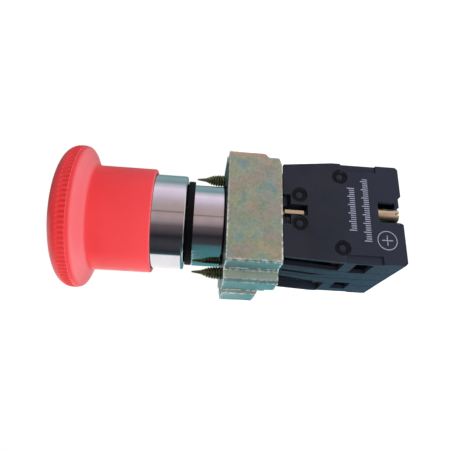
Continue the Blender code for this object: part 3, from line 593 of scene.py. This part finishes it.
def chrome_body():
    """The bezel flange and barrel with softly rounded rims and the seal groove."""
    bezel = [(13.0, BODY_FRONT), (BEZEL_RADIUS, 17.1), (BEZEL_RADIUS, 14.9),
             (SEAL_GROOVE_RADIUS, 14.9), (SEAL_GROOVE_RADIUS, 13.1), (BEZEL_RADIUS, 13.1),
             (BEZEL_RADIUS, 2.7), (13.2, 2.3), (12.9, 2.2)]
    barrel = [(BARREL_RADIUS, 2.2), (BARREL_RADIUS, -13.5), (10.6, BODY_REAR)]
    inner = [(BODY_BORE, BODY_REAR), (8.6, -13.5), (SPINDLE_HOLE, -13.5),
             (SPINDLE_HOLE, BODY_FLOOR), (BODY_BORE, BODY_FLOOR), (BODY_BORE, BODY_FRONT)]
    body = revolve("chrome_body", rounded(bezel + barrel + inner, 0.3), 192, CHROME)
    stand_for(body, "operator_body")


def locating_key():
    """The long rib on the barrel's -X side that keys it in the panel's notch, with one flank
    running flat into the barrel."""
    bm = bmesh.new()
    crown = [math.radians(KEY_START + KEY_SWEEP * i / KEY_STEPS) for i in range(KEY_STEPS + 1)]
    outline = [(-9.63, -5.40)]
    outline += [(-KEY_RADIUS * math.cos(a), KEY_RADIUS * math.sin(a)) for a in crown]
    outline += [(-10.6, 3.98), (-9.4, -5.2)]
    rear, front = ([bm.verts.new((x * MM, y * MM, z * MM)) for x, y in outline]
                   for z in (KEY_REAR, KEY_FRONT))
    for i in range(len(outline)):
        j = (i + 1) % len(outline)
        bm.faces.new((rear[i], rear[j], front[j], front[i]))
    bm.faces.new(rear)
    bm.faces.new(front[::-1])
    dress(bevelled(add_mesh("barrel_key", bm, CHROME), 0.1), "root")


def gasket():
    """The panel gasket, slightly bulged and with soft rims."""
    profile = rounded([(12.0, 1.95), (12.05, 1.0), (12.0, 0.02), (11.35, 0.02), (11.35, 1.95)], 0.25)
    stand_for(revolve("rubber_gasket", profile, 160, RUBBER), "panel_gasket")


def barrel_ring():
    low, high = (corner.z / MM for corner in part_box("barrel_ring"))
    profile = rounded([(11.7, high), (11.7, low), (11.3, low), (11.3, high)], 0.12)
    stand_for(revolve("barrel_snap_ring", profile, 160, RUBBER), "barrel_ring")


def o_ring():
    """The seal in the bezel's groove."""
    profile = arc((12.73, 14.0), 0.64, 90, -270, 16)[:-1]
    stand_for(revolve("skirt_seal", profile, 128, RUBBER), "bezel_o_ring")


# --- clamp screws --------------------------------------------------------------------------
SCREW_RADIUS = 1.75
SCREW_HEAD_LENGTH = 1.7
THREAD_PITCH = 0.75
THREAD_DEPTH = 0.32
THREAD_ROWS = 6                             # rings of points in one turn of the thread
SCREW_STEPS = 24


def taper(travel):
    """The screw's radius over the thread at a distance from the tip: a point, then a cone."""
    point = max(0.2 + 0.148 * travel, 0.6 + 0.5 * (travel - 2.7))
    return min(point, 1.45 + 0.167 * (travel - 4.4), SCREW_RADIUS)


def thread_row(bm, z, travel):
    """One ring of points across the helical thread, which fades out towards the tip."""
    envelope = taper(travel)
    bite = THREAD_DEPTH * min(max(travel - 3.0, 0.0), 1.0)

    def radius_at(angle):
        phase = (z / THREAD_PITCH - angle / (2 * math.pi)) % 1.0
        ridge = 1.0 - abs(2.0 * phase - 1.0)
        return max(envelope - bite * (1.0 - min(1.0, 1.25 * ridge)), 0.08)

    return turned_ring(bm, SCREW_STEPS, z, radius_at)


def clamp_screw(node):
    """Long tapered screw with a real helical thread, a plain point and a slotted head."""
    low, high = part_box(node)
    tip, head_rear = high.z / MM, low.z / MM
    head_front = head_rear + SCREW_HEAD_LENGTH
    length = tip - head_front
    row_count = int(length / THREAD_PITCH * THREAD_ROWS)
    bm = bmesh.new()
    rings = []
    for row in range(row_count + 1):
        z = tip - length * row / row_count
        rings.append(thread_row(bm, z, tip - z))
    head = [(SCREW_RADIUS, head_front), (2.0, head_front), (2.1, head_front - 0.12),
            (2.1, head_rear + 0.35), (1.98, head_rear + 0.1), (1.75, head_rear), (0.9, head_rear)]
    rings += [turned_ring(bm, SCREW_STEPS, z, lambda angle: r) for r, z in head]
    for first, second in zip(rings, rings[1:]):
        join_rings(bm, first, second)
    bm.faces.new(rings[0])
    bm.faces.new(rings[-1][::-1])
    screw = add_mesh(node + "_threaded", bm, SCREW_STEEL, 50.0)
    screw.location = ((low.x + high.x) / 2, 0.0, 0.0)
    slot_cut(screw, (0.0, 0.0, head_rear), (5.0, 0.7, 1.6))
    stand_for(screw, node)


def slot_cut(obj, centre, size):
    """Cut a screwdriver slot: a box in the object's own millimetres, applied to its mesh."""
    bm = bmesh.new()
    bmesh.ops.create_cube(bm, size=1.0)
    bmesh.ops.transform(bm, matrix=Matrix.Translation(Vector(centre) * MM)
                        @ Matrix.Diagonal((*(Vector(size) * MM), 1.0)), verts=bm.verts)
    cutter = add_mesh(obj.name + "_slot", bm, SCREW_STEEL)
    cutter.matrix_world = obj.matrix_basis.copy()
    modifier = obj.modifiers.new("slot", "BOOLEAN")
    modifier.operation, modifier.solver, modifier.object = "DIFFERENCE", "EXACT", cutter
    bpy.context.view_layer.update()
    evaluated = obj.evaluated_get(bpy.context.evaluated_depsgraph_get())
    mesh = bpy.data.meshes.new_from_object(evaluated)
    obj.modifiers.clear()
    obj.data = mesh
    bpy.data.objects.remove(cutter, do_unlink=True)


# --- contact blocks ------------------------------------------------------------------------
INK_THICKNESS = 0.03
TICK_HEIGHT, SHORT_TICK = 2.0, 0.72         # the short ticks as a share of the full ones
TICK_WIDTH, TICK_PITCH = 0.27, 0.61
TICK_GROUP = 4                              # every fourth tick is full height
RING_CENTRE = (-7.2, -50.7)
RING_OUTER, RING_INNER = 2.67, 2.45
SINK_RADIUS, SINK_DEPTH = 1.86, 0.66


def flat_mark(name, outlines, y_side, material):
    """Pad-printed mark on a block's face: closed (x, z) outlines, filled."""
    curve = bpy.data.curves.new(name, "CURVE")
    curve.dimensions = "2D"
    curve.fill_mode = "BOTH"
    curve.extrude = INK_THICKNESS / 2 * MM
    for outline in outlines:
        spline = curve.splines.new("POLY")
        spline.points.add(len(outline) - 1)
        for point, (x, z) in zip(spline.points, outline):
            point.co = (x * MM, z * MM, 0.0, 1.0)
        spline.use_cyclic_u = True
    obj = bpy.data.objects.new(name, curve)
    bpy.context.scene.collection.objects.link(obj)
    obj.rotation_euler = (math.radians(90), 0.0, 0.0)
    obj.location = (0.0, (y_side * (abs(FACE_Y) + INK_THICKNESS / 2)) * MM, 0.0)
    curve.materials.append(material)
    return dress(obj, "root")


def bar(x0, x1, z0, z1, corner=0.04):
    """Outline of a bar with its corners cut off."""
    return [(x0 + corner, z0), (x1 - corner, z0), (x1, z0 + corner), (x1, z1 - corner),
            (x1 - corner, z1), (x0 + corner, z1), (x0, z1 - corner), (x0, z0 + corner)]


def circle(centre, radius, count=48):
    """Outline of a circle."""
    return arc(centre, radius, 0, 360, count)[:-1]


def tick_row(low_x, high_x, z):
    """A plain graduated row of even ticks, as on a scale."""
    count = round((high_x - low_x) / TICK_PITCH)
    foot = z - TICK_HEIGHT / 2
    ticks = []
    for place in range(count + 1):
        x = low_x + (high_x - low_x) * place / count
        height = TICK_HEIGHT if place % TICK_GROUP == 0 else TICK_HEIGHT * SHORT_TICK
        ticks.append(bar(x - TICK_WIDTH / 2, x + TICK_WIDTH / 2, foot, foot + height))
    return ticks


def ringed_cross():
    """Outlines of a plain thin cross: an upright bar and an arm on each side of it."""
    x, z = RING_CENTRE
    half = 0.12
    outlines = [bar(x - half, x + half, z - 1.5, z + 1.5)]
    for side in (-1, 1):
        start, end = sorted((x + side * 0.2, x + side * 1.4))
        outlines.append(bar(start, end, z - half, z + half))
    return outlines


def block_marks(side):
    """Generic print on a block's face: two rows of plain ticks and a plain ringed cross."""
    name = "near" if side < 0 else "far"
    flat_mark(name + "_row_front", tick_row(-4.9, 7.3, -41.8), side, INK)
    flat_mark(name + "_row_rear", tick_row(-7.7, 10.2, -45.6), side, INK)
    rings = [circle(RING_CENTRE, radius) for radius in (RING_OUTER, RING_INNER)]
    flat_mark(name + "_ring", rings, side, INK)
    flat_mark(name + "_cross", ringed_cross(), side, INK)


def rivet(node):
    """Domed staked head on a rivet, and a thin near-black ring of painted shade on the floor of the
    sink that it stands in.
    """
    low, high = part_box(node)
    side = -1 if low.y < 0 else 1
    x, z = (low.x + high.x) / 2, (low.z + high.z) / 2
    length = (high.y - low.y) / MM
    radius = (high.x - low.x) / 2 / MM - 0.02
    crown = [(0.4, 0.02), (0.7, 0.1), (0.9, 0.28), (0.99, 0.55), (1.0, 0.75)]
    profile = [(0.0, length)] + [(radius * share, length - drop) for share, drop in crown]
    profile += [(radius, 0.0), (0.0, 0.0)]
    head = revolve(node + "_domed", profile, 36, BLOCK)
    head.rotation_euler = (math.radians(-90 * side), 0.0, 0.0)
    head.location = (x, high.y if side < 0 else low.y, z)
    stand_for(head, node)

    # A near-black ring of painted shade on the sink's floor, round the head.
    hole = radius + 0.04
    profile = [(hole, 0.02), (hole, -0.1), (SINK_RADIUS, -0.1), (SINK_RADIUS, 0.02)]
    floor = revolve(node + "_sink_painted_shade", profile, 36, SHADOW)
    floor.rotation_euler = (math.radians(-90 * side), 0.0, 0.0)
    floor.location = (x, side * (abs(FACE_Y) - SINK_DEPTH) * MM, z)
    dress(floor, "root")


# --- camera, light and stage ---------------------------------------------------------------
CAMERA_PLACE = (-0.0489, -0.1210, -0.00105)
CAMERA_FORWARD = (0.3752, 0.9249, -0.0618)
CAMERA_UP = (0.9262, -0.3713, 0.0654)
LENS = 35.93
SENSOR = 36.0
DAYLIGHT = 0.80                             # mean brightness of the surround for matte surfaces
DAYLIGHT_LEAN = (-0.54, -0.18, -0.82)       # brighter towards this side
DAYLIGHT_LEAST = 0.03


def camera():
    data = bpy.data.cameras.new("camera")
    data.lens, data.sensor_width = LENS, SENSOR
    data.clip_start, data.clip_end = 0.01, 20.0
    obj = bpy.data.objects.new("camera", data)
    bpy.context.scene.collection.objects.link(obj)
    forward, up = Vector(CAMERA_FORWARD).normalized(), Vector(CAMERA_UP)
    right = forward.cross(up).normalized()
    up = right.cross(forward)
    turn = Matrix((right, up, -forward)).transposed().to_4x4()
    obj.matrix_world = Matrix.Translation(CAMERA_PLACE) @ turn
    bpy.context.scene.camera = obj


def area_light(name, place, aim, size, power, colour=WHITE):
    data = bpy.data.lights.new(name, "AREA")
    data.shape, data.size, data.size_y = "RECTANGLE", size[0], size[1]
    data.energy, data.color = power, colour
    obj = bpy.data.objects.new(name, data)
    bpy.context.scene.collection.objects.link(obj)
    obj.location = place
    obj.rotation_euler = (Vector(aim) - Vector(place)).to_track_quat("-Z", "Y").to_euler()
    obj.visible_glossy = obj.visible_camera = False


def stage():
    bpy.ops.mesh.primitive_plane_add(size=0.9, location=(0.0, 0.0, CAD_BOX[0].z - 0.0002))
    floor = bpy.context.object
    floor.name = "floor"
    f = Finish("pale_floor", Roughness=0.9, Specular_IOR_Level=0.1, Emission_Color=(1, 1, 1, 1),
               Emission_Strength=0.97)
    f.set(Base_Color=f.ramp(f.noise(3, 2), [(0.3, (0.93, 0.93, 0.93)), (0.7, (0.95, 0.95, 0.95))]))
    floor.data.materials.append(f.material)
    floor.visible_glossy = False


# Soft surround as polished metal sees it, by azimuth from -X round through -Y, +X and +Y:
# a dark side, a warm grey front, a bright lavender top and a teal far side.
SURROUND = [
    (0.000, (0.07, 0.18, 0.20)), (0.025, (0.05, 0.06, 0.07)), (0.060, (0.045, 0.045, 0.053)),
    (0.095, (0.025, 0.022, 0.028)), (0.135, (0.10, 0.08, 0.095)), (0.165, (0.15, 0.12, 0.125)),
    (0.195, (0.38, 0.31, 0.32)), (0.225, (0.50, 0.39, 0.39)), (0.250, (0.50, 0.40, 0.38)),
    (0.257, (0.18, 0.14, 0.14)), (0.264, (0.50, 0.40, 0.38)), (0.300, (0.52, 0.42, 0.40)),
    (0.340, (0.60, 0.52, 0.56)), (0.380, (0.80, 0.70, 0.80)), (0.430, (0.95, 0.86, 1.00)),
    (0.470, (0.60, 0.62, 0.68)), (0.500, (0.25, 0.38, 0.40)), (0.560, (0.28, 0.45, 0.47)),
    (0.620, (0.20, 0.32, 0.33)), (0.695, (0.10, 0.18, 0.18)), (0.800, (0.08, 0.37, 0.37)),
    (0.940, (0.07, 0.24, 0.26)), (1.000, (0.07, 0.18, 0.20)),
]
# In front of the gasket the far side is white and the dark side darker: where, and the colours.
FRONT_SHARE = [(0.0, 1.0), (0.020, 1.0), (0.030, 0.0), (0.690, 0.0), (0.700, 1.0), (1.0, 1.0)]
FRONT = [(0.0, (0.05, 0.045, 0.05)), (0.030, (0.05, 0.045, 0.05)), (0.690, (1.1, 1.1, 1.1)),
         (0.943, (1.1, 1.1, 1.1)), (0.952, (0.05, 0.10, 0.115)), (0.975, (0.02, 0.035, 0.045)),
         (1.0, (0.04, 0.04, 0.045))]


def world():
    """Soft studio surround: white for the eye, graded daylight for matte surfaces, and the
    surround above for polished ones."""
    made = bpy.data.worlds.new("studio")
    bpy.context.scene.world = made
    made.use_nodes = True
    sky = Nodes(made.node_tree)
    background = made.node_tree.nodes["Background"]
    background.inputs["Strength"].default_value = 1.0
    direction = sky.node("ShaderNodeTexCoord").outputs["Generated"]
    x, y, z = (sky.component(direction, axis) for axis in range(3))

    azimuth = sky.calculate("ARCTAN2", y, x)
    turn = sky.spread(azimuth, 0.0, 1.0, -math.pi, math.pi)
    rise = sky.spread(z, 0.0, 1.0, 0.005, 0.02, "SMOOTHSTEP")
    fall = sky.spread(z, 0.0, 1.0, -0.45, -0.52)
    front = sky.times(sky.calculate("ADD", rise, fall), sky.ramp(turn, FRONT_SHARE))
    sides = sky.mix(front, sky.ramp(turn, SURROUND), sky.ramp(turn, FRONT))
    below = sky.spread(z, 0.0, 1.0, -0.62, -0.95, "SMOOTHSTEP")
    polished = sky.mix(below, sides, WHITE)

    daylight = sky.calculate("ADD", sky.dot(direction, DAYLIGHT_LEAN), DAYLIGHT)
    daylight = sky.calculate("MAXIMUM", daylight, DAYLIGHT_LEAST)
    seen = sky.node("ShaderNodeLightPath")
    lighting = sky.mix(seen.outputs["Is Glossy Ray"], daylight, polished)
    sky.link(sky.mix(seen.outputs["Is Camera Ray"], lighting, WHITE), background.inputs["Color"])


def lights():
    """A broad lamp in front, and a small teal one beside the rear of the blocks' -X side."""
    area_light("soft_front", (-0.10, -0.55, -0.25), (0, 0, -0.01), (0.35, 0.35), 0.6)
    area_light("teal_fill", (-0.048, 0.004, -0.047), (-0.015, 0.0, -0.046), (0.02, 0.02), 0.007,
               (0.04, 0.78, 1.0))


# --- build ---------------------------------------------------------------------------------
camera()
mushroom_cap()
chrome_body()
locating_key()
gasket()
barrel_ring()
o_ring()
clamp_screw("clamp_screw_upper")
clamp_screw("clamp_screw_lower")
for rivet_node in [node for node in frame["nodes"] if "_rivet_" in node]:
    rivet(rivet_node)
refined("mounting_collar", 0.2)
for block in ("block_1", "block_2"):
    refined(block + "_cover", 0.18)
    refined(block + "_base", 0.18)
    refined(block + "_fixing_screw", 0.12, 2, SCREW_BRASS)
    refined(block + "_clamp_hook", 0.1)
shortening_spring("return_spring")
for block in ("block_1", "block_2"):
    shortening_spring(block + "_plunger_spring")
for mark_side in (-1, 1):
    block_marks(mark_side)
for node, obj in frame["nodes"].items():
    obj.data.materials.clear()
    obj.data.materials.append(SLOT_MATERIALS[NODE_SLOTS[node]])

stage()
world()
lights()
bpy.context.scene.view_settings.view_transform = "Standard"
